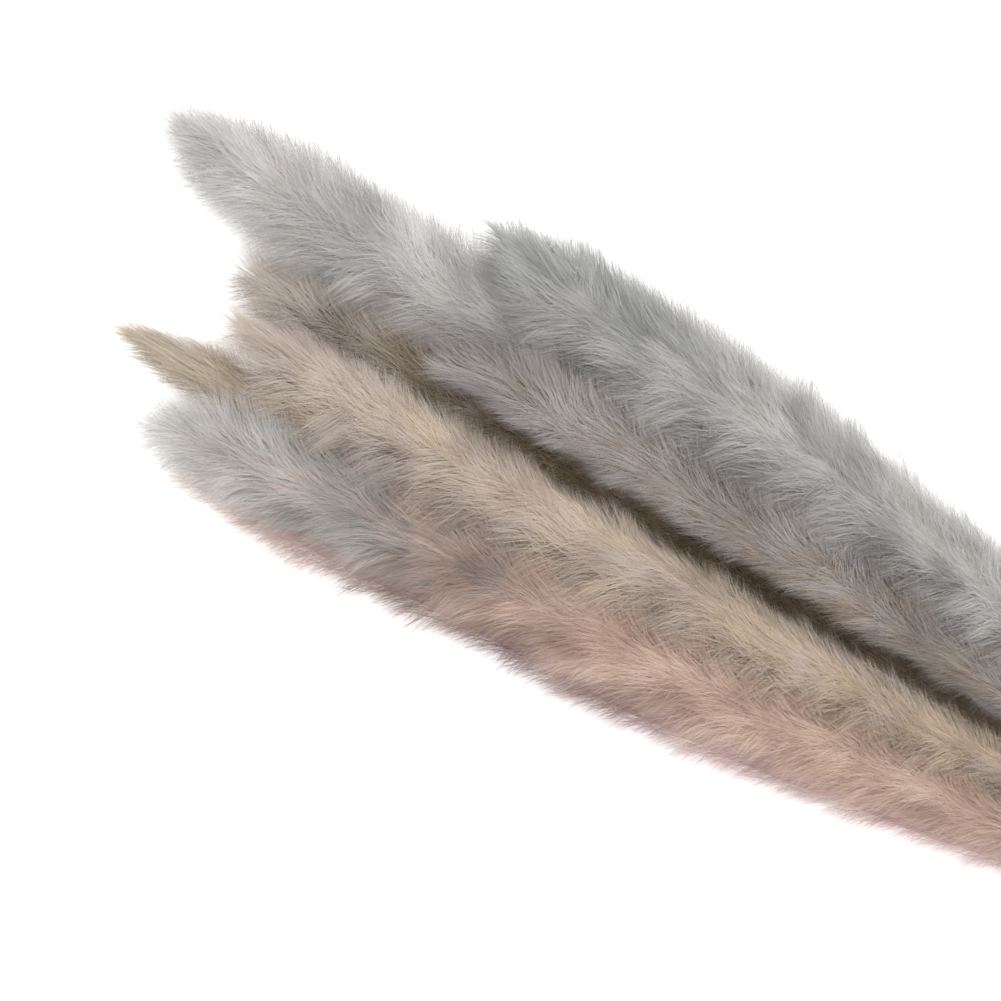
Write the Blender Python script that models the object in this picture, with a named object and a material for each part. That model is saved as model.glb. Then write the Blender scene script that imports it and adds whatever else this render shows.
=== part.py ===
"""A bunch of nine dried reeds, tied and laid down on a flat surface.

Metres, +Z up. The bunch lies along X with its plume tips at -X and its cut
stem ends at +X. Five reeds lie on the surface and four lie on top of them, in
the valleys between their neighbours. The origin is at the middle of the
footprint, on the surface.

Each reed is one piece that grew: a round stem that widens into the dense body
of its plume. The loose down around the plume isn't part of these solids.
"""

from collections import namedtuple

import bmesh
import bpy
import numpy as np

# ---------------------------------------------------------------- dimensions

GAP = 0.0003  # left between pieces that touch

TIE_X = 0.308  # along the bunch, from the middle of the plumes
STEM_END_X = 0.448

PLUME_GROWTH = 0.190  # length over which a plume widens from its stem
PLUME_POINT = 0.046  # length over which it closes to its tip
TIP_RADIUS = 0.0003
STEM_RADIUS_TOP = 0.0013
STEM_RADIUS_TIE = 0.00175
STEM_RADIUS_END = 0.0021

PLUME_PITCH = 0.0206  # widest spacing of neighbours in one layer
TIE_PITCH = 0.00387  # spacing of the stems side by side in the tie
TIE_ROW = 0.00336  # height from one row of stems in the tie to the next
SPREAD_BEFORE_TIE = 0.0785  # slope of the fan of stems, a lane
SPREAD_AFTER_TIE = 0.0400

PRESSED = 0.89  # height of a lower plume's line above the surface, of its radius
BOTTOM_ROW_IN_TIE = 0.0041
BOTTOM_ROW_AT_END = 0.0023
CLIMB = 0.245  # length over which a reed climbs from the tie to its height

LEAN_START_X = 0.020  # a plume leans out of its lane from here to its tip

TWINE_THICKNESS = 0.0016
TIE_WIDTH = 0.0092

STATIONS = 34  # rings of points along a reed
SIDES_RESOLUTION = 4  # Blender's bevel resolution, twelve sides

# radius is that of the plume's dense body, where it is fullest, and height that
# of its line above the surface (None: it lies on the surface itself). lane and
# column count from the middle of the bunch, across it; row is the height of the
# stem in the tie. lean and droop move the tip out of its lane.
Reed = namedtuple("Reed", "name colour radius height lane row column tip_x base_x lean droop")
REEDS = (
    Reed("reed_1", "pink_reed", 0.0080, None, -2.00, 1, -1.5, -0.073, 0.240, -0.0085, 0.0),
    Reed("reed_2", "beige_reed", 0.0080, None, -1.10, 0, -1.0, -0.106, 0.226, -0.0045, 0.0),
    Reed("reed_3", "brown_reed", 0.0087, None, 0.05, 0, 0.0, -0.088, 0.150, 0.0005, 0.0),
    Reed("reed_4", "grey_reed", 0.0108, None, 1.12, 1, 0.5, -0.122, 0.222, 0.0015, 0.0),
    Reed("reed_5", "grey_reed", 0.0070, None, 2.08, 0, 1.0, -0.012, 0.240, 0.0, 0.0),
    Reed("reed_6", "lilac_reed", 0.0083, 0.0236, -1.56, 2, -1.0, -0.087, 0.232, -0.0110, -0.0005),
    Reed("reed_7", "beige_reed", 0.0083, 0.0236, -0.60, 1, -0.5, -0.081, 0.236, 0.0010, 0.0),
    Reed("reed_8", "lilac_reed", 0.0080, 0.0268, 0.54, 2, 1.0, -0.032, 0.244, -0.0040, 0.0),
    Reed("reed_9", "grey_reed", 0.0104, 0.0286, 1.76, 1, 1.5, -0.037, 0.238, 0.0040, -0.0030),
)

# colour (linear), roughness
COLOURS = {
    "grey_reed": ((0.43, 0.40, 0.38), 0.9),
    "lilac_reed": ((0.42, 0.38, 0.36), 0.9),
    "brown_reed": ((0.30, 0.25, 0.21), 0.9),
    "beige_reed": ((0.47, 0.37, 0.29), 0.9),
    "pink_reed": ((0.40, 0.28, 0.21), 0.9),
    "jute": ((0.33, 0.22, 0.12), 0.85),
}

# ---------------------------------------------------------------- the scene

for old in list(bpy.data.objects):
    bpy.data.objects.remove(old, do_unlink=True)


def collection(name):
    """A new collection of this name, linked to the scene."""
    made = bpy.data.collections.new(name)
    bpy.context.scene.collection.children.link(made)
    return made


bunch = collection("bunch_of_reeds")
cutters = collection("cutters")


def material(name):
    """A Principled material with the colour and roughness of one kind of piece."""
    made = bpy.data.materials.new(name)
    made.use_nodes = True
    colour, roughness = COLOURS[name]
    shader = made.node_tree.nodes["Principled BSDF"]
    shader.inputs["Base Color"].default_value = (*colour, 1)
    shader.inputs["Roughness"].default_value = roughness
    shader.inputs["Metallic"].default_value = 0.0
    made.diffuse_color = (*colour, 1)
    return made


materials = {name: material(name) for name in COLOURS}


# ---------------------------------------------------------------- the fan

def smooth_min(a, b, sharpness=8):
    """The smaller of two positive values, rounded where they cross."""
    return (a**-sharpness + b**-sharpness) ** (-1 / sharpness)


def lane_pitch(x):
    """Spacing of the lanes: narrow in the tie, fanning out to the plumes' width."""
    slope = np.where(x < TIE_X, SPREAD_BEFORE_TIE, SPREAD_AFTER_TIE)
    return smooth_min(np.hypot(TIE_PITCH, slope * (x - TIE_X)), PLUME_PITCH)


def reed_path(reed, x):
    """Centre-line of a reed at the stations x, as rows of x, y, z."""
    # In the tie a reed keeps its column; along the plumes it keeps its lane.
    among_plumes = np.clip((TIE_X - x) / CLIMB, 0, 1)
    seat = reed.column + (reed.lane - reed.column) * among_plumes**0.75
    lean = np.clip((LEAN_START_X - x) / (LEAN_START_X - reed.tip_x), 0, 1) ** 2
    y = seat * lane_pitch(x) + reed.lean * lean

    in_tie = BOTTOM_ROW_IN_TIE + reed.row * TIE_ROW
    rise = smooth_min(np.maximum(among_plumes, 1e-4) ** 1.3, 0.999, 10)
    height = reed.height or reed.radius * PRESSED
    z = in_tie + (height - in_tie) * rise + reed.droop * lean
    past_tie = np.clip((x - TIE_X) / (STEM_END_X - TIE_X), 0, 1) ** 2
    at_end = BOTTOM_ROW_AT_END + reed.row * TIE_ROW * 1.1
    z = z + (at_end - in_tie) * past_tie
    return np.stack([x, y, z], axis=1)


def reed_radius(reed, x):
    """Radius of a reed at the stations x: its stem, and the body of its plume."""
    stem = np.interp(
        x,
        [reed.base_x, TIE_X, TIE_X + 0.05, STEM_END_X],
        [STEM_RADIUS_TOP, STEM_RADIUS_TIE, STEM_RADIUS_TIE, STEM_RADIUS_END],
    )
    grown = np.clip((reed.base_x - x) / PLUME_GROWTH, 0, 1) ** 0.8
    body = STEM_RADIUS_TOP + (reed.radius - STEM_RADIUS_TOP) * grown
    point = np.clip((x - reed.tip_x) / PLUME_POINT, 0, 1)
    body = np.maximum(body * (point * (2 - point)) ** 0.425, TIP_RADIUS)
    return np.where(x < reed.base_x, body, stem)


# ---------------------------------------------------------------- making solids

def solid_from_curve(curve, place, slot):
    """A closed mesh object made from a curve object, which it takes the place of."""
    bpy.context.view_layer.update()
    depsgraph = bpy.context.evaluated_depsgraph_get()
    mesh = bpy.data.meshes.new_from_object(curve.evaluated_get(depsgraph))
    grid = bmesh.new()
    grid.from_mesh(mesh)
    bmesh.ops.remove_doubles(grid, verts=grid.verts, dist=1e-6)
    bmesh.ops.recalc_face_normals(grid, faces=grid.faces)
    grid.to_mesh(mesh)
    grid.free()
    mesh.materials.clear()
    mesh.materials.append(slot)
    mesh.shade_smooth()
    mesh.set_sharp_from_angle(angle=np.radians(50))
    solid = bpy.data.objects.new(curve.name + "_solid", mesh)
    solid.matrix_world = curve.matrix_world
    name = curve.name
    bpy.data.objects.remove(curve, do_unlink=True)
    solid.name = name
    place.objects.link(solid)
    return solid


def reed_solid(reed):
    """A round bar along the reed's path, as thick as the reed is at each station."""
    along = np.linspace(0, 1, STATIONS) ** 1.25
    x = reed.tip_x + (STEM_END_X - reed.tip_x) * along
    shape = bpy.data.curves.new(reed.name, "CURVE")
    shape.dimensions = "3D"
    shape.bevel_depth = 1.0  # the points' radii are then metres
    shape.bevel_resolution = SIDES_RESOLUTION
    shape.use_fill_caps = True
    line = shape.splines.new("POLY")
    line.points.add(STATIONS - 1)
    path = np.c_[reed_path(reed, x), np.ones(STATIONS)]
    line.points.foreach_set("co", path.ravel())
    line.points.foreach_set("radius", reed_radius(reed, x))
    curve = bpy.data.objects.new(reed.name, shape)
    bunch.objects.link(curve)
    return solid_from_curve(curve, bunch, materials[reed.colour])


reeds = {reed.name: reed_solid(reed) for reed in REEDS}

# ---------------------------------------------------------------- lying flat

# The plumes of the bottom layer are pressed flat where they lie on the surface.
bpy.ops.mesh.primitive_cube_add(size=1.0)
floor_cutter = bpy.context.object
floor_cutter.name = "floor_cutter"
floor_cutter.scale = (1.2, 0.4, 0.02)
floor_cutter.location = (0.15, 0.0, -0.01)
bpy.ops.object.transform_apply(location=False, rotation=False, scale=True)
floor_cutter.display_type = "WIRE"
floor_cutter.hide_render = True
for home in list(floor_cutter.users_collection):
    home.objects.unlink(floor_cutter)
cutters.objects.link(floor_cutter)

for reed in REEDS:
    if reed.height is None:
        pressed = reeds[reed.name].modifiers.new("pressed_flat", "BOOLEAN")
        pressed.operation = "DIFFERENCE"
        pressed.solver = "EXACT"
        pressed.object = floor_cutter

# ---------------------------------------------------------------- the tie

def outline_round_stems(clearance, count=48):
    """Closed line pulled tight round the stems in the tie, at a clearance from them.

    For each direction the line's support is the farthest stem's centre plus its
    radius; the line's points are where neighbouring supports cross.
    """
    at_tie = np.array([TIE_X])
    centres = np.array([reed_path(reed, at_tie)[0, 1:] for reed in REEDS])
    angle = np.linspace(0, 2 * np.pi, count, endpoint=False)
    away = np.stack([np.cos(angle), np.sin(angle)], axis=1)
    support = (centres @ away.T).max(axis=0) + STEM_RADIUS_TIE + clearance
    step = 2 * np.pi / count
    ahead = np.roll(support, -1)
    along = (ahead - support * np.cos(step)) / np.sin(step)
    sideways = np.stack([-away[:, 1], away[:, 0]], axis=1)
    return support[:, None] * away + along[:, None] * sideways


ring = bpy.data.curves.new("twine_tie", "CURVE")
ring.dimensions = "2D"
ring.fill_mode = "BOTH"
ring.extrude = TIE_WIDTH / 2
for clearance in (GAP + TWINE_THICKNESS, GAP):
    outline = outline_round_stems(clearance)
    loop = ring.splines.new("POLY")
    loop.points.add(len(outline) - 1)
    loop.points.foreach_set(
        "co", np.c_[outline, np.zeros(len(outline)), np.ones(len(outline))].ravel()
    )
    loop.use_cyclic_u = True
tie_curve = bpy.data.objects.new("twine_tie", ring)
bunch.objects.link(tie_curve)
# The outline's first axis runs across the bunch and its second one up.
tie_curve.rotation_euler = (np.pi / 2, 0.0, np.pi / 2)
tie_curve.location = (TIE_X, 0.0, 0.0)
tie = solid_from_curve(tie_curve, bunch, materials["jute"])

# ---------------------------------------------------------------- the origin

corners = []
for piece in bunch.objects:
    points = np.empty(len(piece.data.vertices) * 3)
    piece.data.vertices.foreach_get("co", points)
    world = np.array(piece.matrix_world)
    points = points.reshape(-1, 3) @ world[:3, :3].T + world[:3, 3]
    corners += [points.min(axis=0), points.max(axis=0)]
corners = np.array(corners)
middle = (corners.min(axis=0) + corners.max(axis=0)) / 2

lying = bpy.data.objects.new("bunch_lying_down", None)
bunch.objects.link(lying)
lying.location = (-middle[0], -middle[1], 0.0)
for piece in (*reeds.values(), tie):
    piece.parent = lying
floor_cutter.parent = lying
bpy.context.view_layer.update()
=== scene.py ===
import bpy
import numpy as np
from mathutils import Matrix, Vector


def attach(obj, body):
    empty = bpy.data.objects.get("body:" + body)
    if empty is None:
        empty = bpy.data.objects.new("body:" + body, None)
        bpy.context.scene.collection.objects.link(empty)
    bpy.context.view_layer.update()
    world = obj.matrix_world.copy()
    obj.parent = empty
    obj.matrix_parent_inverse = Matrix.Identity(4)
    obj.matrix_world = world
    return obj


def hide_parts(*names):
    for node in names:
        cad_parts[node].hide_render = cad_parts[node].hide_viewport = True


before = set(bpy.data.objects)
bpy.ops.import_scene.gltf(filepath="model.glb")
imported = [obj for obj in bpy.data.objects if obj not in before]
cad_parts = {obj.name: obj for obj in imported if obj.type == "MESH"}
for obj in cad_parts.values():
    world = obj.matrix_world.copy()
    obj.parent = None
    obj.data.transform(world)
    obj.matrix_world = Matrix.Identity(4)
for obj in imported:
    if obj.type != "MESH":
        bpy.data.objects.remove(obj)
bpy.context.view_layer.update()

bpy.context.scene.name = "bunch_of_reeds"

# ------------------------------------------------------------------ the reeds
# Nine cut and dried common reeds. Each is one stem that runs up through the
# middle of its plume. How each one lies in the bunch is read here, once, from
# its solid, and every piece of that reed is then built along that line.

REED_NAMES = [f"reed_{k}" for k in range(1, 10)]
LINE_STATIONS = 180  # places along a reed where its line is measured
LINE_INSET = 0.0015  # share of the reed's length left out at each end
LINE_CROWDING = 1.25  # over 1, the stations stand closer towards the tip
LINE_SMOOTHING = 7  # stations averaged, so that the solid's facets don't show


def measured_line(node):
    """Centre-line and radius of a reed, from its tip to its cut end.

    At each station along X the solid's edges are cut by the plane there. The
    cut's middle across the bunch gives y, half its width gives the radius, and
    its highest point less the radius gives z, so that a plume pressed flat
    underneath still has its full round line.
    """
    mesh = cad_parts[node].data
    points = np.empty(len(mesh.vertices) * 3)
    mesh.vertices.foreach_get("co", points)
    points = points.reshape(-1, 3)
    ends = np.empty(len(mesh.edges) * 2, int)
    mesh.edges.foreach_get("vertices", ends)
    a, b = points[ends[::2]], points[ends[1::2]]
    low, high = points[:, 0].min(), points[:, 0].max()
    x = low + (high - low) * np.linspace(LINE_INSET, 1 - LINE_INSET, LINE_STATIONS) ** LINE_CROWDING
    crossing = (a[:, 0] - x[:, None]) * (b[:, 0] - x[:, None]) <= 0
    share = (x[:, None] - a[:, 0]) / np.where(b[:, 0] == a[:, 0], 1, b[:, 0] - a[:, 0])
    cut = a[None] + (b - a)[None] * np.clip(share, 0, 1)[:, :, None]
    y_low = np.where(crossing, cut[:, :, 1], np.inf).min(axis=1)
    y_high = np.where(crossing, cut[:, :, 1], -np.inf).max(axis=1)
    z_high = np.where(crossing, cut[:, :, 2], -np.inf).max(axis=1)
    radius = (y_high - y_low) / 2
    line = np.stack([x, (y_low + y_high) / 2, z_high - radius], axis=1)
    pad = LINE_SMOOTHING // 2
    kernel = np.ones(LINE_SMOOTHING) / LINE_SMOOTHING
    for column in (1, 2):
        padded = np.pad(line[:, column], pad, mode="reflect", reflect_type="odd")
        line[:, column] = np.convolve(padded, kernel, mode="valid")
    return line, radius


class Line:
    """A reed's line as functions of the distance s from its tip, towards the stem."""

    def __init__(self, points, radius):
        steps = np.linalg.norm(np.diff(points, axis=0), axis=1)
        self.s = np.r_[0, np.cumsum(steps)]
        self.length = self.s[-1]
        self.points, self.radii = points, radius
        tangent = np.gradient(points, self.s, axis=0)
        self.tangent = tangent / np.linalg.norm(tangent, axis=1)[:, None]
        side = np.cross([0.0, 0.0, 1.0], -self.tangent)
        self.side = side / np.linalg.norm(side, axis=1)[:, None]
        self.up = np.cross(-self.tangent, self.side)

    def read(self, table, s):
        """A column table's values at the distances s, as an extra last axis."""
        return np.stack([np.interp(s, self.s, table[:, k]) for k in range(3)], axis=-1)

    def radius(self, s):
        return np.interp(s, self.s, self.radii)

    def base(self):
        """Where the plume begins on its stem: the thinnest place along the reed."""
        first = LINE_STATIONS // 4  # past the thin point of the tip
        return self.s[first + self.radii[first:].argmin()]

    def place(self, s, out, turn):
        """Points at the distance s along the line and the distance out from it.

        turn is the angle round the line, from the bunch's -Y side up over the
        top. Before the tip (s below 0) the line runs straight on.
        """
        inside = np.clip(s, 0, self.length)
        beyond = (s - inside)[..., None] * self.read(self.tangent, inside)
        outward = self.outward(inside, turn)
        return self.read(self.points, inside) + beyond + out[..., None] * outward

    def outward(self, s, turn):
        """The direction straight out from the line at the angle turn."""
        return (
            np.cos(turn)[..., None] * self.read(self.side, s)
            + np.sin(turn)[..., None] * self.read(self.up, s)
        )


lines = {name: Line(*measured_line(name)) for name in REED_NAMES}
plume_base = {name: line.base() for name, line in lines.items()}

# ------------------------------------------------------------------ the stems
# The culm of each reed: a round, hollow, straw-gold cane with a joint every
# few centimetres, cut off square. It runs on up inside the plume, out of sight.

STEM_STEP = 0.0015
STEM_SIDES = 20
STEM_IN_PLUME = 0.060  # how far up inside the plume the stem is modelled
STEM_HIDDEN_RADIUS = 0.0011  # inside the plume
STEM_TOP_RADIUS = 0.0013  # where it comes out of the plume
JOINT_COUNT = 6
JOINT_SPACING = 0.083
JOINT_TO_END = 0.020  # the least length from the last joint to the cut end
JOINT_SWELL = 0.15  # how much thicker a joint is than the cane by it
JOINT_HALF_WIDTH = 0.0018
JOINT_DARK = (0.13, 0.075, 0.035, 1)
JOINT_LINE = 0.0011  # half width of the dark line round a joint
HOLLOW_DEPTH = 0.011
HOLLOW_SHARE = 0.60  # inner radius of the hollow, as a share of the outer
FIBRE_HEIGHT = 0.0001


def new_piece(name, mesh, stuff, *nodes):
    """An object for a finished mesh, with its material, on the bunch's one body."""
    piece = bpy.data.objects.new(name, mesh)
    bpy.context.scene.collection.objects.link(piece)
    mesh.materials.append(stuff)
    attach(piece, "root")
    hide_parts(*nodes)
    return piece


def skin(name, rings):
    """A closed surface through rings of points, with a pole at each end.

    rings is (stations, round, 3). The map's first axis runs round the surface
    and its second along it, both from 0 to 1.
    """
    stations, around, _ = rings.shape
    poles = np.stack([rings[0].mean(axis=0), rings[-1].mean(axis=0)])
    points = np.concatenate([rings.reshape(-1, 3), poles])
    i, j = np.meshgrid(np.arange(stations - 1), np.arange(around), indexing="ij")
    ahead = (j + 1) % around
    quads = np.stack(
        [i * around + j, i * around + ahead, (i + 1) * around + ahead, (i + 1) * around + j],
        axis=-1,
    ).reshape(-1, 4)
    j = np.arange(around)
    first = np.stack([np.full(around, stations * around), (j + 1) % around, j], axis=1)
    base = (stations - 1) * around
    last = np.stack([np.full(around, stations * around + 1), base + j, base + (j + 1) % around], axis=1)
    corners = np.concatenate([quads.ravel(), first.ravel(), last.ravel()])
    totals = np.r_[np.full(len(quads), 4), np.full(2 * around, 3)]
    across, along = np.meshgrid(np.arange(around), np.arange(stations - 1), indexing="xy")
    u = np.stack([across, across + 1, across + 1, across], axis=-1) / around
    v = np.stack([along, along, along + 1, along + 1], axis=-1) / (stations - 1)
    quads_uv = np.stack([u, v], axis=-1).reshape(-1, 2)
    fan_u = np.stack([j + 0.5, j + 1, j], axis=1) / around
    first_uv = np.stack([fan_u, np.zeros_like(fan_u)], axis=-1).reshape(-1, 2)
    fan_u = np.stack([j + 0.5, j, j + 1], axis=1) / around
    last_uv = np.stack([fan_u, np.ones_like(fan_u)], axis=-1).reshape(-1, 2)
    return mesh_from_faces(name, points, corners, totals, np.concatenate([quads_uv, first_uv, last_uv]))


def mesh_from_faces(name, points, corners, totals, uv):
    """A smooth mesh from its points, its faces' corners and sizes, and its map."""
    mesh = bpy.data.meshes.new(name)
    mesh.vertices.add(len(points))
    mesh.vertices.foreach_set("co", np.ascontiguousarray(points, np.float32).ravel())
    mesh.loops.add(len(corners))
    mesh.loops.foreach_set("vertex_index", corners.astype(np.int32))
    mesh.polygons.add(len(totals))
    starts = np.r_[0, np.cumsum(totals)[:-1]].astype(np.int32)
    mesh.polygons.foreach_set("loop_start", starts)
    mesh.polygons.foreach_set("loop_total", totals.astype(np.int32))
    mesh.polygons.foreach_set("use_smooth", np.ones(len(totals), bool))
    mesh.update(calc_edges=True)
    layer = mesh.uv_layers.new(name="OFBake")
    layer.data.foreach_set("uv", np.ascontiguousarray(uv, np.float32).ravel())
    mesh.validate()
    return mesh


def group(name, inputs, outputs):
    """A new shader node group with named sockets, and its in and out nodes."""
    tree = bpy.data.node_groups.new(name, "ShaderNodeTree")
    for label, kind, value in inputs:
        made = tree.interface.new_socket(label, in_out="INPUT", socket_type=kind)
        if value is not None:
            made.default_value = value
    for label, kind in outputs:
        tree.interface.new_socket(label, in_out="OUTPUT", socket_type=kind)
    return tree, tree.nodes.new("NodeGroupInput"), tree.nodes.new("NodeGroupOutput")


def node(tree, kind, links=(), **settings):
    """A node with its settings, and its inputs linked or set from (socket, value) pairs."""
    made = tree.nodes.new(kind)
    for key, value in settings.items():
        setattr(made, key, value)
    for socket, value in links:
        if isinstance(value, bpy.types.NodeSocket):
            tree.links.new(value, made.inputs[socket])
        else:
            made.inputs[socket].default_value = value
    return made


def mixed(tree, factor, a, b, blend="MIX"):
    """The colour socket of a Mix node from a to b by factor."""
    made = node(tree, "ShaderNodeMix", data_type="RGBA", blend_type=blend)
    for socket, value in (("Factor", factor), ("A", a), ("B", b)):
        if isinstance(value, bpy.types.NodeSocket):
            tree.links.new(value, made.inputs[socket])
        else:
            made.inputs[socket].default_value = value
    return made.outputs["Result"]


def product(tree, a, b):
    """The value socket of a Math node that multiplies a by b."""
    return node(tree, "ShaderNodeMath", [(0, a), (1, b)], operation="MULTIPLY").outputs[0]


def scaled(tree, value, from_low, from_high, to_low, to_high):
    """The value socket of a Map Range node from one span of values to another."""
    spans = enumerate((value, from_low, from_high, to_low, to_high))
    return node(tree, "ShaderNodeMapRange", spans).outputs[0]


def matte(name, roughness, specular):
    """A new Principled material, and its shader node."""
    stuff = bpy.data.materials.new(name)
    stuff.use_nodes = True
    shader = stuff.node_tree.nodes["Principled BSDF"]
    shader.inputs["Roughness"].default_value = roughness
    shader.inputs["Specular IOR Level"].default_value = specular
    return stuff, shader


streaks, streaks_in, streaks_out = group(
    "fibre_streaks",
    [("Place", "NodeSocketVector", None), ("Across", "NodeSocketFloat", 60.0),
     ("Along", "NodeSocketFloat", 3.0), ("Seed", "NodeSocketFloat", 0.0)],
    [("Mask", "NodeSocketFloat")],
)
stretch = node(streaks, "ShaderNodeSeparateXYZ", [(0, streaks_in.outputs["Place"])])
turned = product(streaks, stretch.outputs[0], 2 * np.pi)
cosine = node(streaks, "ShaderNodeMath", [(0, turned)], operation="COSINE")
sine = node(streaks, "ShaderNodeMath", [(0, turned)], operation="SINE")
ring_x = product(streaks, cosine.outputs[0], streaks_in.outputs["Across"])
ring_y = product(streaks, sine.outputs[0], streaks_in.outputs["Across"])
long_z = product(streaks, stretch.outputs[1], streaks_in.outputs["Along"])
on_tube = node(streaks, "ShaderNodeCombineXYZ", [(0, ring_x), (1, ring_y), (2, long_z)])
placed = node(
    streaks, "ShaderNodeVectorMath",
    [(0, on_tube.outputs[0]), (1, streaks_in.outputs["Seed"])], operation="ADD",
)
fibre = node(
    streaks, "ShaderNodeTexNoise",
    [("Vector", placed.outputs[0]), ("Scale", 1.0), ("Detail", 2.0), ("Roughness", 0.6)],
)
streaks.links.new(fibre.outputs[0], streaks_out.inputs["Mask"])


def stem_rings(line, base, last_joint):
    """Rings along a culm: its radius, swollen at the joints, then back inside its end.

    A joint is a bell of JOINT_SWELL around each multiple of the spacing. The
    last rings turn over the cut rim and run back up the hollow to a floor.
    """
    start = base - STEM_IN_PLUME
    s = np.arange(start, line.length, STEM_STEP)
    joints = last_joint - JOINT_SPACING * np.arange(JOINT_COUNT)
    bell = np.exp(-(((s[:, None] - joints) / JOINT_HALF_WIDTH) ** 2)).max(axis=1)
    widest = np.interp(s, [base - 0.03, base, base + 0.04], [STEM_HIDDEN_RADIUS, STEM_TOP_RADIUS, 1.0])
    radius = np.minimum(line.radius(s), widest) * (1 + JOINT_SWELL * bell)
    end = radius[-1]
    rim = np.array([0.0, 0.0, 0.0, -0.0004, -HOLLOW_DEPTH, -HOLLOW_DEPTH - 0.0003])
    rim_radius = end * np.array([0.97, 0.85, 0.66, HOLLOW_SHARE, HOLLOW_SHARE, 0.2])
    s = np.r_[s, line.length + rim]
    radius = np.r_[radius, rim_radius]
    turn = np.linspace(0, -2 * np.pi, STEM_SIDES, endpoint=False)
    return line.place(
        np.repeat(s[:, None], STEM_SIDES, axis=1),
        np.repeat(radius[:, None], STEM_SIDES, axis=1),
        np.repeat(turn[None], len(s), axis=0),
    )


def raised(tree, shader, height, strength):
    """Fibres that stand FIBRE_HEIGHT proud where the height mask is full."""
    bump = node(
        tree, "ShaderNodeBump",
        [("Height", height), ("Strength", strength), ("Distance", FIBRE_HEIGHT)],
    )
    tree.links.new(bump.outputs[0], shader.inputs["Normal"])


def streaked(tree, across, along, seed):
    """The mask of a fibre_streaks node on the piece's own map."""
    place = node(tree, "ShaderNodeUVMap", uv_map="OFBake")
    values = [("Place", place.outputs[0]), ("Across", across), ("Along", along), ("Seed", seed)]
    return node(tree, "ShaderNodeGroup", values, node_tree=streaks).outputs[0]


def straw(name, seed, joint, metre):
    """Straw-gold cane: fine lengthwise fibres, browner stretches, a dark line round each joint.

    joint is a joint's place along the map, and metre the length of a metre there.
    """
    stuff, shader = matte(name, 0.5, specular=0.4)
    tree = stuff.node_tree
    fine = streaked(tree, across=5.0, along=9.0, seed=seed)
    patches = streaked(tree, across=0.6, along=14.0, seed=seed + 9)
    both = node(tree, "ShaderNodeMath", [(0, fine), (1, patches)], operation="ADD")
    ramp = node(tree, "ShaderNodeValToRGB", [(0, product(tree, both.outputs[0], 0.5))])
    ramp.color_ramp.elements[0].position = 0.36
    ramp.color_ramp.elements[0].color = (0.22, 0.125, 0.055, 1)
    ramp.color_ramp.elements[1].position = 0.62
    ramp.color_ramp.elements[1].color = (0.60, 0.43, 0.23, 1)
    place = node(tree, "ShaderNodeUVMap", uv_map="OFBake")
    along = node(tree, "ShaderNodeSeparateXYZ", [(0, place.outputs[0])])
    past = node(tree, "ShaderNodeMath", [(0, along.outputs[1]), (1, joint)], operation="SUBTRACT")
    half_way = JOINT_SPACING / 2 * metre
    nearest = node(tree, "ShaderNodeMath", [(0, past.outputs[0]), (1, half_way)], operation="PINGPONG")
    line = scaled(tree, nearest.outputs[0], 0.0, JOINT_LINE * metre, 0.75, 0.0)
    tree.links.new(mixed(tree, line, ramp.outputs[0], JOINT_DARK), shader.inputs["Base Color"])
    raised(tree, shader, fine, 0.35)
    return stuff


for number, name in enumerate(REED_NAMES):
    # The joints of neighbours stand at different places, spread by a sine of the reed's number.
    last_joint = lines[name].length - JOINT_TO_END - JOINT_SPACING * (0.5 + 0.5 * np.sin(number * 2.1))
    rings = stem_rings(lines[name], plume_base[name], last_joint)
    metre = 1 / (STEM_STEP * (len(rings) - 1))
    joint = (last_joint - plume_base[name] + STEM_IN_PLUME) * metre
    cane = skin(f"{name}_stem", rings)
    new_piece(f"{name}_stem", cane, straw(f"straw_{number + 1}", number * 3.7, joint, metre), name)

# ------------------------------------------------------------------ the plumes
# The dense middle of each plume: side branches crowded with seed husks, seen
# only as the darker depth between the tufts of down. Its colour is the husks'
# brown-grey darkened as painted shade. It is one closed body for each reed,
# with the dark stalks of its longer branches coming out through it.

# Each colour is a shade, a main and a light colour, linear. The shade is painted shade between the tufts, and
# also the darkest of the down's random tones.
PLUME_COLOURS = {
    "pale_grey": ((0.45, 0.435, 0.425), (0.82, 0.80, 0.79), (0.94, 0.93, 0.925)),
    "grey": ((0.40, 0.385, 0.37), (0.76, 0.745, 0.73), (0.91, 0.90, 0.89)),
    # The next colour, for reed_9's tip, is its own grey deepened with painted shade.
    "dark_grey_and_painted_shade": ((0.31, 0.31, 0.30), (0.56, 0.565, 0.555), (0.80, 0.80, 0.79)),
    "lilac": ((0.35, 0.325, 0.315), (0.64, 0.605, 0.595), (0.85, 0.82, 0.815)),
    "grey_brown": ((0.33, 0.295, 0.26), (0.72, 0.665, 0.61), (0.88, 0.84, 0.79)),
    "brown": ((0.21, 0.16, 0.115), (0.48, 0.41, 0.33), (0.68, 0.60, 0.52)),
    # The next colour, for reed_3 where it shows in the gap between its neighbours, is its own brown deepened
    # with painted shade.
    "brown_and_painted_gap_shade": ((0.10, 0.07, 0.04), (0.38, 0.29, 0.19), (0.62, 0.51, 0.365)),
    "olive": ((0.33, 0.285, 0.225), (0.67, 0.605, 0.51), (0.86, 0.80, 0.72)),
    "beige": ((0.42, 0.36, 0.32), (0.81, 0.74, 0.69), (0.95, 0.905, 0.87)),
    "gold": ((0.37, 0.28, 0.185), (0.79, 0.68, 0.55), (0.96, 0.895, 0.80)),
    "peach": ((0.40, 0.28, 0.23), (0.84, 0.695, 0.615), (0.97, 0.89, 0.80)),
    "pink": ((0.40, 0.28, 0.275), (0.82, 0.67, 0.65), (0.96, 0.86, 0.84)),
}
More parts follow.
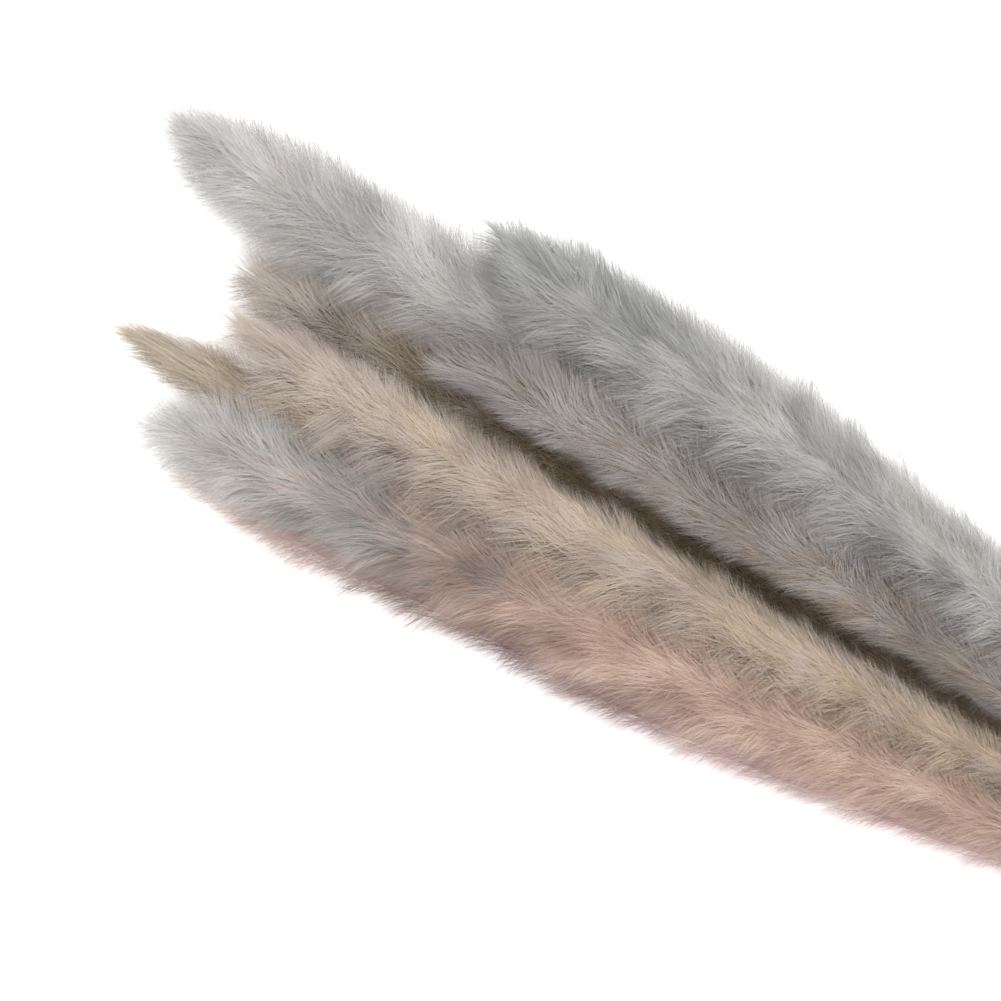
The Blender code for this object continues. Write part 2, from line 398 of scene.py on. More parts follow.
PLUME_KIND = {  # colour at the tip, and towards the stem
    "reed_1": ("peach", "pink"), "reed_2": ("olive", "gold"), "reed_3": ("grey_brown", "brown_and_painted_gap_shade"),
    "reed_4": ("pale_grey", "grey"), "reed_5": ("grey", "pale_grey"), "reed_6": ("grey", "peach"),
    # reed_8's brown towards its stem is partly its own colour and partly painted shade.
    "reed_7": ("beige", "gold"), "reed_8": ("lilac", "brown"), "reed_9": ("dark_grey_and_painted_shade", "grey"),
}
KIND_TURNS = {  # where, from the tip, the first colour gives way, and over what length
    "reed_1": (0.07, 0.14), "reed_2": (0.08, 0.12), "reed_3": (0.055, 0.07), "reed_4": (0.10, 0.20),
    "reed_5": (0.10, 0.20), "reed_6": (0.078, 0.05), "reed_7": (0.17, 0.30), "reed_8": (0.19, 0.24),
    "reed_9": (0.05, 0.14),
}
DUSKY = {  # where a plume is darker: how far from its tip, over what length, and by how much
    "reed_1": (0.085, 0.060, 0.50), "reed_4": (0.030, 0.040, 0.16), "reed_6": (0.080, 0.036, 0.30),
}
BODY_SHARE = 0.80  # of the solid's radius, so that the down has room to root
BODY_SIDES = 30
BODY_STEP = 0.0022
BODY_CLOSING = 0.03  # length over which the body closes to its tip
BODY_LEAST = 0.0003  # its least radius
BODY_CLEAR = 0.0009  # its least height above the surface
RIDGES_ROUND = 9
RIDGE_DEPTH = 0.10
RIDGE_TWIST = 95.0  # radians a metre
RIDGE_WAVE = 61  # radians a metre, of the slower wave that breaks up the ridges
SPREAD = {  # how wide a plume is spread on its -Y side, its top and its +Y side, in solid radii
    "reed_1": (1.10, 0.95, 1.40), "reed_2": (1.55, 1.35, 1.30), "reed_3": (1.60, 1.25, 1.10),
    "reed_4": (1.40, 1.20, 1.15), "reed_5": (1.10, 0.90, 1.05), "reed_6": (1.25, 0.88, 1.24),
    "reed_7": (1.80, 0.88, 0.82), "reed_8": (0.75, 0.88, 1.48), "reed_9": (1.48, 0.88, 1.15),
}
TAPER = {  # the share of its spread that a plume has at its tip, and the length to its full spread
    "reed_1": (0.75, 0.020), "reed_2": (0.42, 0.040), "reed_3": (0.90, 0.016),
    "reed_4": (0.90, 0.034), "reed_5": (0.75, 0.020), "reed_6": (1.10, 0.026),
    "reed_7": (0.75, 0.020), "reed_8": (0.85, 0.020), "reed_9": (0.85, 0.030),
}
FLATNESS = 1.1  # 2 for an oval plume, less for one that fills the hollows beside it
BRANCHES = 90  # on each plume
BRANCH_LENGTH = 0.012
BRANCH_WIDTH = 0.00026
BRANCH_JOINTS = 5
BRANCH_ROOT = 0.70  # how far out a branch starts and ends, in plume radii
BRANCH_END = 1.12
BRANCH_CLEAR = 0.0006  # its least height above the surface
GOLDEN_ANGLE = 2.39996  # the turn from one branch to the next round a stem
BRANCH_FIRST = 0.004  # from the plume's tip
BRANCH_EVEN = 0.0016  # added to the radius, so that thin places have branches too
CROWD_STATIONS = 400  # places along a plume where its crowding is added up
FLOW_WAVES = 7
FLOW_SHORTEST = 0.014
FLOW_LONGEST = 0.070

husk_colour, husk_in, husk_out = group(
    "plume_depth",
    [("Mask", "NodeSocketFloat", 0.5), ("Shade", "NodeSocketColor", None), ("Main", "NodeSocketColor", None)],
    [("Colour", "NodeSocketColor")],
)
# How far from the shade colour towards the main: on a plume's body the shade colour is painted shade for the
# depth between the tufts, on the stalks it is their own dark brown.
husk_level = scaled(husk_colour, husk_in.outputs["Mask"], 0.35, 0.75, 0.0, 0.75)
husk_mix = mixed(husk_colour, husk_level, husk_in.outputs["Shade"], husk_in.outputs["Main"])
husk_colour.links.new(husk_mix, husk_out.inputs["Colour"])


def body_rings(line, base):
    """Rings of a plume's dense middle.

    The radius is a share of the solid's, with ridges that wind round the plume
    and close out at its tip, and it shrinks to the stem's at its lower end.
    """
    s = np.linspace(0.002, base, int(base / BODY_STEP))
    turn = np.linspace(0, -2 * np.pi, BODY_SIDES, endpoint=False)
    s, turn = np.meshgrid(s, turn, indexing="ij")
    ridge = np.cos(RIDGES_ROUND * turn + RIDGE_TWIST * s) * np.cos(2 * turn - RIDGE_WAVE * s)
    close = np.clip(s / BODY_CLOSING, 0, 1) ** 0.5
    out = line.radius(s) * BODY_SHARE * close * (1 + RIDGE_DEPTH * ridge)
    rings = line.place(s, np.maximum(out, BODY_LEAST), turn)
    rings[..., 2] = np.maximum(rings[..., 2], BODY_CLEAR)
    return rings


def husk(name, kind, seed):
    """The plume's depth: its shade colour (painted shade where it colours the plume's body), with streaks
    towards its main colour.
    """
    stuff, shader = matte(name, 0.9, specular=0.15)
    tree = stuff.node_tree
    shade, main, _ = PLUME_COLOURS[kind]
    fine = streaked(tree, across=14.0, along=55.0, seed=seed)
    values = [("Mask", fine), ("Shade", (*shade, 1)), ("Main", (*main, 1))]
    colour = node(tree, "ShaderNodeGroup", values, node_tree=husk_colour)
    tree.links.new(colour.outputs[0], shader.inputs["Base Color"])
    return stuff


def flow(s, turn, rng):
    """A smooth random value over a plume, about -1.5 to 1.5.

    It is the sum of waves that run along and round the plume, each with its own
    length, its own whole number of crests round, and its own start.
    """
    length = FLOW_SHORTEST * (FLOW_LONGEST / FLOW_SHORTEST) ** rng.random(FLOW_WAVES)
    crests = rng.integers(-3, 4, FLOW_WAVES)
    start = rng.random(FLOW_WAVES) * 2 * np.pi
    waves = np.cos(s[:, None] * 2 * np.pi / length + crests * turn[:, None] + start)
    return waves.sum(axis=1) / FLOW_WAVES**0.5


class Branches:
    """The side branches of one plume, and how wide the plume is spread around them."""

    def __init__(self, line, base, spread, taper, seed):
        self.line, self.spread, self.taper = line, spread, taper
        rng = np.random.default_rng(seed)
        stations = np.linspace(BRANCH_FIRST, base, CROWD_STATIONS)
        crowd = np.cumsum(line.radius(stations) + BRANCH_EVEN)
        count = BRANCHES
        even = (np.arange(count) + rng.random(count)) / count  # one branch in each even share
        self.s = np.interp(even * crowd[-1], crowd, stations)
        self.turn = (np.arange(count) * GOLDEN_ANGLE + 0.5 * rng.standard_normal(count)) % (2 * np.pi)
        ends = np.interp(self.s, [0, 0.012, 0.05, base - 0.05, base], [0.25, 0.55, 1.0, 1.0, 0.6])
        self.length = BRANCH_LENGTH * ends * (0.8 + 0.4 * rng.random(count))
        billow = flow(self.s, self.turn, rng)
        self.lift = BRANCH_END * (1 + 0.10 * billow + 0.10 * rng.standard_normal(count))
        self.curl = 0.25 * flow(self.s, self.turn, rng) + 0.14 * rng.standard_normal(count)

    def widen(self, s, turn):
        """How wide the plume is spread at s in the direction turn, in solid radii: less near its tip."""
        side = np.cos(turn)
        by_side = np.where(side > 0, self.spread[0], self.spread[2])
        at_tip, over = self.taper
        pointed = np.interp(s, [0, over], [at_tip, 1])
        weight = np.abs(side) ** FLATNESS
        return pointed * (by_side * weight + self.spread[1] * (1 - weight))

    def along(self, k, t):
        """How far along the plume, out from it and round it branch k is at its share t.

        It rises from near the stem to the plume's surface, steeply and then flat.
        """
        s = self.s[k] - self.length[k] * t
        rise = 1 - (1 - t) ** 1.6
        share = BRANCH_ROOT + (self.lift[k] - BRANCH_ROOT) * rise
        out = self.line.radius(s) * self.widen(s, self.turn[k]) * share
        return s, out, self.turn[k] + self.curl[k] * self.length[k] * t / (out + 0.004)

    def points(self, k, t):
        """Where branch k is at its share t, above the floor."""
        points = self.line.place(*self.along(k, t))
        points[..., 2] = np.maximum(points[..., 2], BRANCH_CLEAR)
        return points


branches = {
    name: Branches(lines[name], plume_base[name], SPREAD[name], TAPER[name], 11 + number)
    for number, name in enumerate(REED_NAMES)
}


def branch_mesh(name, plume):
    """Every side branch of a plume as a three-sided tapering stalk, in one mesh.

    The stalk's corners stand at three angles round its path, at half its
    width, which falls to a fifth at its end. Both ends are closed. Its sideways
    direction is square to the path and to one that is almost straight up.
    """
    k, t = np.meshgrid(np.arange(BRANCHES), np.linspace(0, 1, BRANCH_JOINTS), indexing="ij")
    path = plume.points(k, t)
    forward = np.gradient(path, axis=1)
    forward /= np.maximum(np.linalg.norm(forward, axis=2), 1e-9)[:, :, None]
    side = np.cross(forward, [0.0, 0.13, 0.99])
    side /= np.linalg.norm(side, axis=2)[:, :, None]
    up = np.cross(side, forward)
    half = (BRANCH_WIDTH / 2 * (1 - 0.8 * t))[:, :, None, None]
    angle = np.arange(3)[:, None] * 2 * np.pi / 3
    ring = path[:, :, None] + half * (np.cos(angle) * side[:, :, None] + np.sin(angle) * up[:, :, None])
    ring_start = np.arange(BRANCH_JOINTS - 1)[:, None] * 3
    corner, ahead = np.arange(3), (np.arange(3) + 1) % 3
    here, there = ring_start + corner, ring_start + ahead
    quads = np.stack([here, there, there + 3, here + 3], axis=-1)
    last = (BRANCH_JOINTS - 1) * 3
    pattern = np.r_[quads.ravel(), 2, 1, 0, last, last + 1, last + 2]
    corners = (np.arange(BRANCHES)[:, None] * BRANCH_JOINTS * 3 + pattern).ravel()
    totals = np.tile(np.r_[np.full(3 * (BRANCH_JOINTS - 1), 4), 3, 3], BRANCHES)
    place = np.stack(np.broadcast_arrays(corner / 3, t[0][:, None]), axis=-1)
    uv = np.tile(place.reshape(-1, 2)[pattern], (BRANCHES, 1))
    return mesh_from_faces(name, ring.reshape(-1, 3), corners, totals, uv)


for number, name in enumerate(REED_NAMES):
    kind = PLUME_KIND[name][1]
    body = skin(f"{name}_plume", body_rings(lines[name], plume_base[name]))
    new_piece(f"{name}_plume", body, husk(f"husk_{number + 1}", kind, number * 5.3), name)
    stalks = branch_mesh(f"{name}_branches", branches[name])
    new_piece(f"{name}_branches", stalks, husk(f"stalk_{number + 1}", "brown", number * 4.1), name)

# ------------------------------------------------------------------ the down
# The silky hairs of the seed heads, which make the plume soft. They are rooted
# all over its dense middle, point towards its tip, and cling together in locks
# and tufts. Each is a thin flat blade with one bend, pointed at both ends.

HAIRS = {  # hairs on each plume: fewer where others cover it
    "reed_1": 43000, "reed_2": 40000, "reed_3": 38000, "reed_4": 66000, "reed_5": 18000,
    "reed_6": 60000, "reed_7": 62000, "reed_8": 54000, "reed_9": 68000,
}
HAIR_LENGTH = 0.0108
HAIR_WIDTH = 0.00013
HAIR_BEND = 0.42  # how far along a hair its bend is
HAIR_MAP_HALF = 0.006  # half the width of a hair's strip in the map
HAIR_MAP_UP = (0.05, 0.45, 0.45, 0.95)  # its root, its two bend corners and its tip, in its band
SPLAY_ROOT = np.radians(19)  # angle to the plume's line, before and past the bend
SPLAY_TIP = np.radians(45)
SPLAY_WAVE = np.radians(8)  # how far that differs from patch to patch
SPLAY_STRAY = np.radians(12)  # and from hair to hair
SWIRL_WAVE = 0.30  # slope round the plume, from patch to patch
SWIRL_STRAY = 0.40  # and from hair to hair
ROOT_LEAST = 0.50  # how far out in the plume hairs are rooted, in solid radii
ROOT_SPAN = 0.45
TUFT_LENGTH = 0.0085
TUFTS_ROUND = 11
TUFT_PULL = 0.36  # how far the hairs of a tuft close up at their tips
TUFT_BLUR = 0.25  # how far tufts reach into each other, in cells
LOCK_LENGTH = 0.0045
LOCKS_ROUND = 46
LOCK_PULL = 0.22
PULL_POWER = 1.3  # over 1, a hair is drawn in more at its tip than lower down
GUIDE_OUT = 0.75  # where guide hairs are rooted, in solid radii, and how far that varies
GUIDE_OUT_STRAY = 0.07
GUIDE_LENGTH_STRAY = 0.30
GUIDE_SPLAY_STRAY = np.radians(16)
GUIDE_SWIRL_STRAY = 0.60
WISP_SPLAY = np.radians(18)  # the thinnest hairs stand out further and reach past the rest
WISP_LENGTH = 0.5
WISP_THINNING = 0.55
DARK_SHARE = 0.03  # hairs that are bare dark awns
DARK_TONE = 0.45  # and how much darker those are
TONE = 0.55  # the middle tone of the down, from 0 for shade to 1 for light
HAIR_FIRST = 0.0005  # from the plume's tip
HAIR_EVEN = 0.0022  # added to the radius, so that thin places have hairs too
REACH = 0.0105  # the furthest a hair may stand out from the plume, before that is spread
LUMPS = 0.06  # how uneven a plume's outline is
FACE_UP = 0.3  # how much a hair's flat side turns from straight out towards the sky
THROUGH = 0.48  # share of the light that goes on through a hair
COLOUR_BANDS = 8  # steps from the tip's colour to the stem's, in the map
FLOOR_CLEAR = 0.0005  # the least height of a hair above the surface

down_colour, down_in, down_out = group(
    "down_colour",
    [("Place", "NodeSocketVector", None)]
    + [
        (f"{end} {tone}", "NodeSocketColor", None)
        for end in ("Tip", "Stem") for tone in ("Shade", "Main", "Light")
    ],
    [("Colour", "NodeSocketColor")],
)
parts = node(down_colour, "ShaderNodeSeparateXYZ", [(0, down_in.outputs["Place"])])
tone, banded = parts.outputs[0], parts.outputs[1]
bands = product(down_colour, banded, float(COLOUR_BANDS))
band = node(down_colour, "ShaderNodeMath", [(0, bands)], operation="FLOOR")
last_band = COLOUR_BANDS - 1.0
to_stem = node(down_colour, "ShaderNodeMath", [(0, band.outputs[0]), (1, last_band)], operation="DIVIDE")
along_hair = node(down_colour, "ShaderNodeMath", [(0, bands)], operation="FRACT")
to_main = scaled(down_colour, tone, 0.0, 0.5, 0.0, 1.0)
to_light = scaled(down_colour, tone, 0.5, 1.0, 0.0, 1.0)
by_end = []
for end in ("Tip", "Stem"):
    shade, main, light = (down_in.outputs[f"{end} {tone_name}"] for tone_name in ("Shade", "Main", "Light"))
    by_end.append(mixed(down_colour, to_light, mixed(down_colour, to_main, shade, main), light))
both_ends = mixed(down_colour, to_stem.outputs[0], *by_end)
# Painted shade: each hair darkens towards its root, deep inside the plume.
painted_root_shade = scaled(down_colour, along_hair.outputs[0], 0.05, 0.6, 0.84, 1.0)
grey = node(down_colour, "ShaderNodeCombineColor", [(k, painted_root_shade) for k in range(3)])
rooted = mixed(down_colour, 1.0, both_ends, grey.outputs[0], "MULTIPLY")
down_colour.links.new(rooted, down_out.inputs["Colour"])


def down_stuff(name, kinds):
    """Silky down: the plume's colours by tuft and hair, with light that goes through."""
    stuff, shader = matte(name, 0.8, specular=0.15)
    tree = stuff.node_tree
    place = node(tree, "ShaderNodeUVMap", uv_map="OFBake")
    colour = node(tree, "ShaderNodeGroup", node_tree=down_colour)
    tree.links.new(place.outputs[0], colour.inputs["Place"])
    for end, kind in zip(("Tip", "Stem"), kinds):
        for tone_name, value in zip(("Shade", "Main", "Light"), PLUME_COLOURS[kind]):
            colour.inputs[f"{end} {tone_name}"].default_value = (*value, 1)
    tree.links.new(colour.outputs[0], shader.inputs["Base Color"])
    behind = node(tree, "ShaderNodeBsdfTranslucent", [("Color", colour.outputs[0])])
    both = node(tree, "ShaderNodeMixShader", [(0, THROUGH), (1, shader.outputs[0]), (2, behind.outputs[0])])
    tree.links.new(both.outputs[0], tree.nodes["Material Output"].inputs["Surface"])
    return stuff


def unit(vectors):
    """The vectors at length one."""
    return vectors / np.maximum(np.linalg.norm(vectors, axis=-1), 1e-12)[..., None]


def blades(name, points, facing, width, tone, band):
    """A mesh of flat hairs, each two triangles: pointed at its root, widest at its bend, pointed at its tip.

    Each hair's flat side looks the way facing says. In the map a hair is a thin
    upright strip: how light it is gives its place across, and the way from
    root to tip runs up through the band of its colour.
    """
    count = len(points)
    root, bend, tip = points[:, 0], points[:, 1], points[:, 2]
    across = unit(np.cross(tip - root, facing)) * (width / 2)[:, None]
    outline = np.stack([root, bend - across, bend + across, tip], axis=1)
    pattern = np.array([0, 2, 1, 1, 2, 3])
    corners = (np.arange(count)[:, None] * 4 + pattern).ravel()
    u = np.clip(tone, 0.01, 0.99)[:, None] + HAIR_MAP_HALF * np.array([0, -1, 1, 0])
    v = (band[:, None] + np.array(HAIR_MAP_UP)) / COLOUR_BANDS
    uv = np.stack([u, v], axis=-1)[:, pattern]
    return mesh_from_faces(name, outline.reshape(-1, 3), corners, np.full(2 * count, 3), uv.reshape(-1, 2))


def hair_paths(s, out, turn, length, splay, swirl):
    """Each hair's root, bend and tip: how far along the plume, out from it and round it.

    A hair leaves its root at SPLAY_ROOT to the plume's line, and past its bend
    it stands at SPLAY_TIP, less near the plume's tip. splay is added to both
    angles, and swirl carries the hair round.
    """
    near_tip = np.interp(s, [0.0, 0.020], [0.85, 1.0])
    low, high = near_tip * SPLAY_ROOT + splay, near_tip * SPLAY_TIP + splay
    first, second = length * HAIR_BEND, length * (1 - HAIR_BEND)
    zero = np.zeros(len(s))
    climb = np.stack([zero, np.sin(low) * first, np.sin(low) * first + np.sin(high) * second], axis=1)
    run = np.stack([zero, np.cos(low) * first, np.cos(low) * first + np.cos(high) * second], axis=1)
    around = swirl[:, None] * run / (out[:, None] + climb + 0.003)
    return s[:, None] - run, out[:, None] + climb, turn[:, None] + around


def gathered(paths, s, turn, cell, round_count, pull, rng, line, size):
    """The hair paths drawn together at their tips into tufts, one for each cell.

    The plume's surface is cut into cells along and round it, each row of cells
    shifted from the last. Each cell has one guide hair, and a hair moves
    towards its cell's guide by pull times t ** PULL_POWER, where t is 0 at its
    root, HAIR_BEND at its bend and 1 at its tip.
    """
    s = np.maximum(s + cell * TUFT_BLUR * rng.standard_normal(len(s)), 0)
    turn = turn + 2 * np.pi / round_count * TUFT_BLUR * rng.standard_normal(len(s))
    row = np.floor(s / cell + 0.5).astype(int)
    rows = row.max() + 2
    shift = rng.random(rows)[row]
    column = np.floor(turn / (2 * np.pi) * round_count + shift).astype(int)
    cells = rows * round_count
    number = row * round_count + column % round_count
    guide_s = np.maximum((row + (rng.random(cells)[number] - 0.5) * 0.7) * cell, 0.001)
    guide_turn = (column + 0.5 - shift + (rng.random(cells)[number] - 0.5) * 0.5) / round_count * 2 * np.pi
    wild = rng.standard_normal((4, cells))[:, number]
    guide = hair_paths(
        guide_s, line.radius(guide_s) * (GUIDE_OUT + GUIDE_OUT_STRAY * wild[0]), guide_turn,
        size(guide_s) * (1 + GUIDE_LENGTH_STRAY * wild[1]),
        GUIDE_SPLAY_STRAY * wild[2], GUIDE_SWIRL_STRAY * wild[3],
    )
    t = np.array([0.0, HAIR_BEND, 1.0]) ** PULL_POWER
    return [a + (b - a) * pull * t for a, b in zip(paths, guide)], wild[0]


def down(name, plume, base, count, turns, dusky, seed):
    """The hairs of one plume, as one mesh, rooted evenly over its dense middle.

    Each hair is turned aside and swirled by smooth waves over the plume and a
    little at random, drawn into its lock and its tuft, and held within REACH of
    the plume's surface. After that the plume is made lumpy and spread. A hair's
    tone and its colour band vary by patch, tuft and lock, and a little at random.
    """
    rng = np.random.default_rng(seed)
    line = plume.line

    def size(s):
        """Length of the hairs: longest at the tip, and shorter towards the stem."""
        return HAIR_LENGTH * np.interp(s, [0, 0.02, 0.10, base - 0.06, base], [1.20, 1.0, 1.0, 0.9, 0.45])

    stations = np.linspace(HAIR_FIRST, base, CROWD_STATIONS)
    crowd = np.cumsum(line.radius(stations) + HAIR_EVEN)
    s = np.interp(rng.random(count) * crowd[-1], crowd, stations)
    turn = rng.random(count) * 2 * np.pi
    out = line.radius(s) * (ROOT_LEAST + ROOT_SPAN * rng.random(count))
    billow = flow(s, turn, rng)
    wisp = rng.random(count) ** 4
    uneven = 0.60 + 0.75 * rng.random(count) ** 1.4
    length = size(s) * (1 + 0.16 * billow) * uneven * (1 + WISP_LENGTH * wisp)
    wild = rng.standard_normal((5, count))
    splay = SPLAY_STRAY * wild[0] + SPLAY_WAVE * flow(s, turn, rng) + WISP_SPLAY * wisp
    swirl = SWIRL_STRAY * wild[1] + SWIRL_WAVE * flow(s, turn, rng)
    paths = hair_paths(s, out, turn, length, splay, swirl)
    close = 1 - 0.8 * wisp[:, None]
    paths, lock_tone = gathered(paths, s, turn, LOCK_LENGTH, LOCKS_ROUND, LOCK_PULL * close, rng, line, size)
    paths, tuft_tone = gathered(paths, s, turn, TUFT_LENGTH, TUFTS_ROUND, TUFT_PULL * close, rng, line, size)
    along, away, around = paths
    surface = line.radius(along)
    past = away - surface
    away = np.where(past > 0, surface + REACH * np.tanh(past / REACH), away)
    away = away * (1 + LUMPS * flow(s, turn, rng))[:, None]
    points = line.place(along, away * plume.widen(along, around), around)
    points[..., 2] = np.maximum(points[..., 2], FLOOR_CLEAR)
    facing = line.outward(np.clip(along[:, 1], 0, line.length), around[:, 1])
    facing = facing + FACE_UP * np.array([0.0, 0.0, 1.0]) + 0.12 * wild[2:5].T
    tone = TONE + 0.08 * tuft_tone + 0.06 * lock_tone + 0.05 * wild[1] + 0.10 * flow(s, turn, rng)
    tone = tone - DARK_TONE * (rng.random(count) < DARK_SHARE)
    middle, reach, depth = dusky
    tone = tone - depth * np.exp(-(((s - middle) / reach) ** 2))
    width = HAIR_WIDTH * (0.7 + 0.6 * rng.random(count)) * (1 - WISP_THINNING * wisp)
    starts, over = turns
    patches = 0.14 * wild[3] + 0.26 * tuft_tone + 0.12 * lock_tone + 0.22 * flow(s, turn, rng)
    band = (s - starts) / over + 0.5 + patches
    band = np.floor(np.clip(band, 0, 0.999) * COLOUR_BANDS)
    return blades(name, points, facing, width, tone, band)


for number, name in enumerate(REED_NAMES):
    hairs = down(
        f"{name}_down", branches[name], plume_base[name], HAIRS[name], KIND_TURNS[name],
        DUSKY.get(name, (0, 1, 0)), 31 + number,
    )
    new_piece(f"{name}_down", hairs, down_stuff(f"down_{number + 1}", PLUME_KIND[name]), name)

# ------------------------------------------------------------------ the tie
# A length of two-ply jute twine that holds the stems together. It is wound
# round them five times and pulled tight. Its two ends are cut blunt, and stop
# beside the winding with the tips sunk into the stem below.

TWINE_TURNS = 5
TWINE_RADIUS = 0.00088
TWINE_STEP = 0.0005
TWINE_SIDES = 12
PLY_LENGTH = 0.0075  # along the twine, for one whole turn of the two plies
PLY_DEPTH = 0.30
TUCK_DEPTH = 0.0016  # how far the twine's ends are sunk
TUCK_LENGTH = 0.010  # along the twine, over which they sink
OUTLINE_DIRECTIONS = 360
OUTLINE_ROUNDING = 11  # neighbouring directions averaged
TWINE_HAIRS = 2600
TWINE_HAIR_LENGTH = 0.0022
TWINE_HAIR_WIDTH = 0.00007
TWINE_HAIR_MARGIN = 20  # stations at each end of the twine that bear no fibres


def tie_path(node):
    """The twine's centre-line, and the direction out of the winding along it.

    The tie solid's reach in each direction across the bunch is the greatest
    distance of its points that way. Averaged over its neighbours, and less the
    twine's radius, it gives a rounded outline: reach times the direction, plus
    the reach's slope times the direction square to it. The path goes round
    that outline at an even speed while it moves along X, and dips at its ends.
    """
    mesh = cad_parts[node].data
    points = np.empty(len(mesh.vertices) * 3)
    mesh.vertices.foreach_get("co", points)
    points = points.reshape(-1, 3)
    middle = (points.min(axis=0) + points.max(axis=0)) / 2
    theta = np.linspace(0, 2 * np.pi, OUTLINE_DIRECTIONS, endpoint=False)
    direction = np.stack([np.cos(theta), np.sin(theta)], axis=1)
    reach = ((points - middle)[:, 1:] @ direction.T).max(axis=0)
    pad = OUTLINE_ROUNDING // 2
    kernel = np.ones(OUTLINE_ROUNDING) / OUTLINE_ROUNDING
    reach = np.convolve(np.r_[reach[-pad:], reach, reach[:pad]], kernel, "valid") - TWINE_RADIUS
    slope = (np.roll(reach, -1) - np.roll(reach, 1)) / (2 * theta[1])
    square = np.stack([-np.sin(theta), np.cos(theta)], axis=1)
    outline = middle[1:] + reach[:, None] * direction + slope[:, None] * square
    closed = np.vstack([outline, outline[:1]])
    at = np.r_[0, np.cumsum(np.linalg.norm(np.diff(closed, axis=0), axis=1))]
    run = np.arange(0, at[-1] * TWINE_TURNS, TWINE_STEP)
    around = run % at[-1]
    angle = np.interp(around, at, np.r_[theta, 2 * np.pi])
    out = np.stack([np.zeros(len(run)), np.cos(angle), np.sin(angle)], axis=1)
    low, high = points[:, 0].min() + TWINE_RADIUS, points[:, 0].max() - TWINE_RADIUS
    x = low + (high - low) * run / run[-1]
    y, z = (np.interp(around, at, closed[:, k]) for k in range(2))
    path = np.stack([x, y, z], axis=1)
    dip = np.clip(1 - np.minimum(run, run[-1] - run) / TUCK_LENGTH, 0, 1) ** 2
    return path - out * (TUCK_DEPTH * dip)[:, None], out, run


def twine_rings(path, out, run):
    """Rings of the twine: two plies, as a radius that is largest on two opposite sides and turns."""
    phi = np.linspace(0, 2 * np.pi, TWINE_SIDES, endpoint=False)
    lobe = np.abs(np.cos(phi[None] - 2 * np.pi * run[:, None] / PLY_LENGTH))
    radius = TWINE_RADIUS * (1 - PLY_DEPTH + PLY_DEPTH * lobe)
    along_x = np.array([1.0, 0.0, 0.0])
    ring = np.cos(phi)[None, :, None] * out[:, None] + np.sin(phi)[None, :, None] * along_x
    return path[:, None] + radius[:, :, None] * ring


def jute(name):
    """Raw jute: straw-brown, with darker lines between its fibres."""
    stuff, shader = matte(name, 0.85, specular=0.2)
    tree = stuff.node_tree
    fine = streaked(tree, across=2.2, along=260.0, seed=5.0)
    ramp = node(tree, "ShaderNodeValToRGB", [(0, fine)])
    ramp.color_ramp.elements[0].position = 0.32
    ramp.color_ramp.elements[0].color = (0.20, 0.115, 0.05, 1)
    ramp.color_ramp.elements[1].position = 0.66
    ramp.color_ramp.elements[1].color = (0.56, 0.40, 0.22, 1)
    tree.links.new(ramp.outputs[0], shader.inputs["Base Color"])
    raised(tree, shader, fine, 0.6)
    return stuff


twine_path, twine_out, twine_run = tie_path("twine_tie")
twine_stuff = jute("jute")
winding = skin("twine_winding", twine_rings(twine_path, twine_out, twine_run))
new_piece("twine_winding", winding, twine_stuff, "twine_tie")

rng = np.random.default_rng(77)
at = rng.integers(TWINE_HAIR_MARGIN, len(twine_run) - TWINE_HAIR_MARGIN, TWINE_HAIRS)
forward = unit(twine_path[at + 1] - twine_path[at - 1]) * rng.choice([-1.0, 1.0], TWINE_HAIRS)[:, None]
across = twine_out[at] + 0.7 * rng.standard_normal(TWINE_HAIRS)[:, None] * np.array([1.0, 0.0, 0.0])
length = TWINE_HAIR_LENGTH * (0.4 + rng.random(TWINE_HAIRS))
root = twine_path[at] + twine_out[at] * (0.6 * TWINE_RADIUS)
bend = root + unit(forward + 0.35 * across) * (length / 2)[:, None]
tip = bend + unit(forward + 0.8 * across) * (length / 2)[:, None]
points = np.stack([root, bend, tip], axis=1)
points[..., 2] = np.maximum(points[..., 2], FLOOR_CLEAR)
fibres = blades(
    "twine_fibres", points, twine_out[at], np.full(TWINE_HAIRS, TWINE_HAIR_WIDTH),
    rng.random(TWINE_HAIRS), rng.integers(0, COLOUR_BANDS, TWINE_HAIRS),
)
new_piece("twine_fibres", fibres, twine_stuff, "twine_tie")

# ------------------------------------------------------------------ the stage
# A plain white surface under the bunch, soft light from all round with a broad
# lamp almost overhead, a little to the grey side, and a camera that looks
# straight down on the plumes.

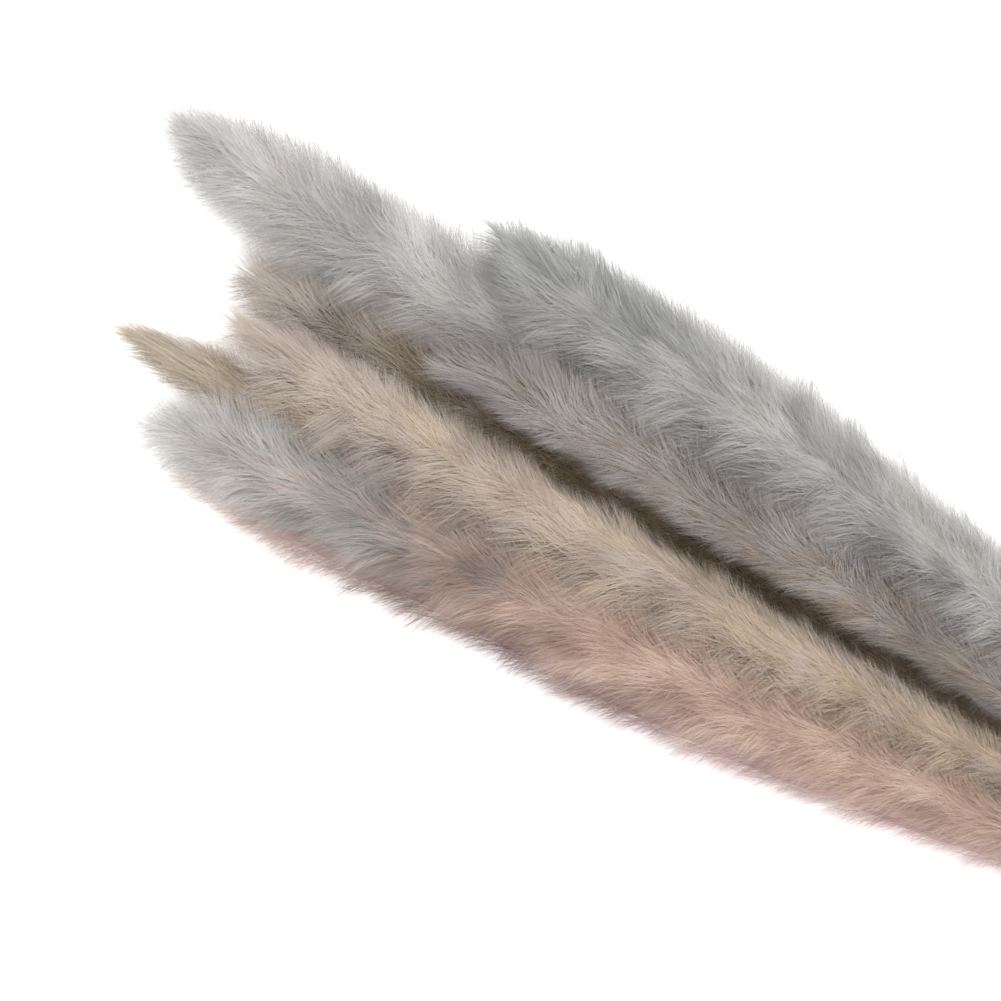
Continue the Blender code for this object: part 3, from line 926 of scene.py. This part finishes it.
SURFACE_HALF = 4.0
surface_mesh = bpy.data.meshes.new("surface")
surface_mesh.from_pydata(
    [(x * SURFACE_HALF, y * SURFACE_HALF, 0.0) for x, y in ((-1, -1), (1, -1), (1, 1), (-1, 1))],
    [], [(0, 1, 2, 3)],
)
surface = bpy.data.objects.new("surface", surface_mesh)
bpy.context.scene.collection.objects.link(surface)
surface_stuff, surface_shader = matte("white_surface", 0.9, specular=0.1)
surface_shader.inputs["Base Color"].default_value = (0.9, 0.9, 0.9, 1)
surface_shader.inputs["Emission Color"].default_value = (1, 1, 1, 1)
surface_shader.inputs["Emission Strength"].default_value = 0.45
surface_mesh.materials.append(surface_stuff)

VIEW_CENTRE = Vector((-0.170, -0.0124, 0.018))
VIEW_WIDTH = 0.2503
VIEW_ROLL = np.radians(31.0)  # how far the bunch's line points down to the right
camera_data = bpy.data.cameras.new("camera")
camera_data.lens = 90
camera_data.sensor_width = 36
camera = bpy.data.objects.new("camera", camera_data)
bpy.context.scene.collection.objects.link(camera)
distance = VIEW_WIDTH * camera_data.lens / camera_data.sensor_width
view_right = Vector((np.cos(VIEW_ROLL), np.sin(VIEW_ROLL), 0))
view_up = Vector((-np.sin(VIEW_ROLL), np.cos(VIEW_ROLL), 0))
axes = Matrix((view_right, view_up, Vector((0, 0, 1)))).transposed()
camera.matrix_world = Matrix.Translation(VIEW_CENTRE + Vector((0, 0, distance))) @ axes.to_4x4()
camera_data.clip_start = 0.01
bpy.context.scene.camera = camera

world = bpy.data.worlds.new("soft_light")
world.use_nodes = True
world.node_tree.nodes["Background"].inputs["Color"].default_value = (1, 1, 1, 1)
world.node_tree.nodes["Background"].inputs["Strength"].default_value = 0.88
bpy.context.scene.world = world

lamp_data = bpy.data.lights.new("broad_lamp", "SUN")
lamp_data.energy = 1.45
lamp_data.angle = np.radians(60)
lamp = bpy.data.objects.new("broad_lamp", lamp_data)
bpy.context.scene.collection.objects.link(lamp)
lamp_from = Vector((0.1, 0.32, 1.4))
lamp.rotation_euler = lamp_from.to_track_quat("Z", "Y").to_euler()
bpy.context.scene.view_settings.view_transform = "Standard"
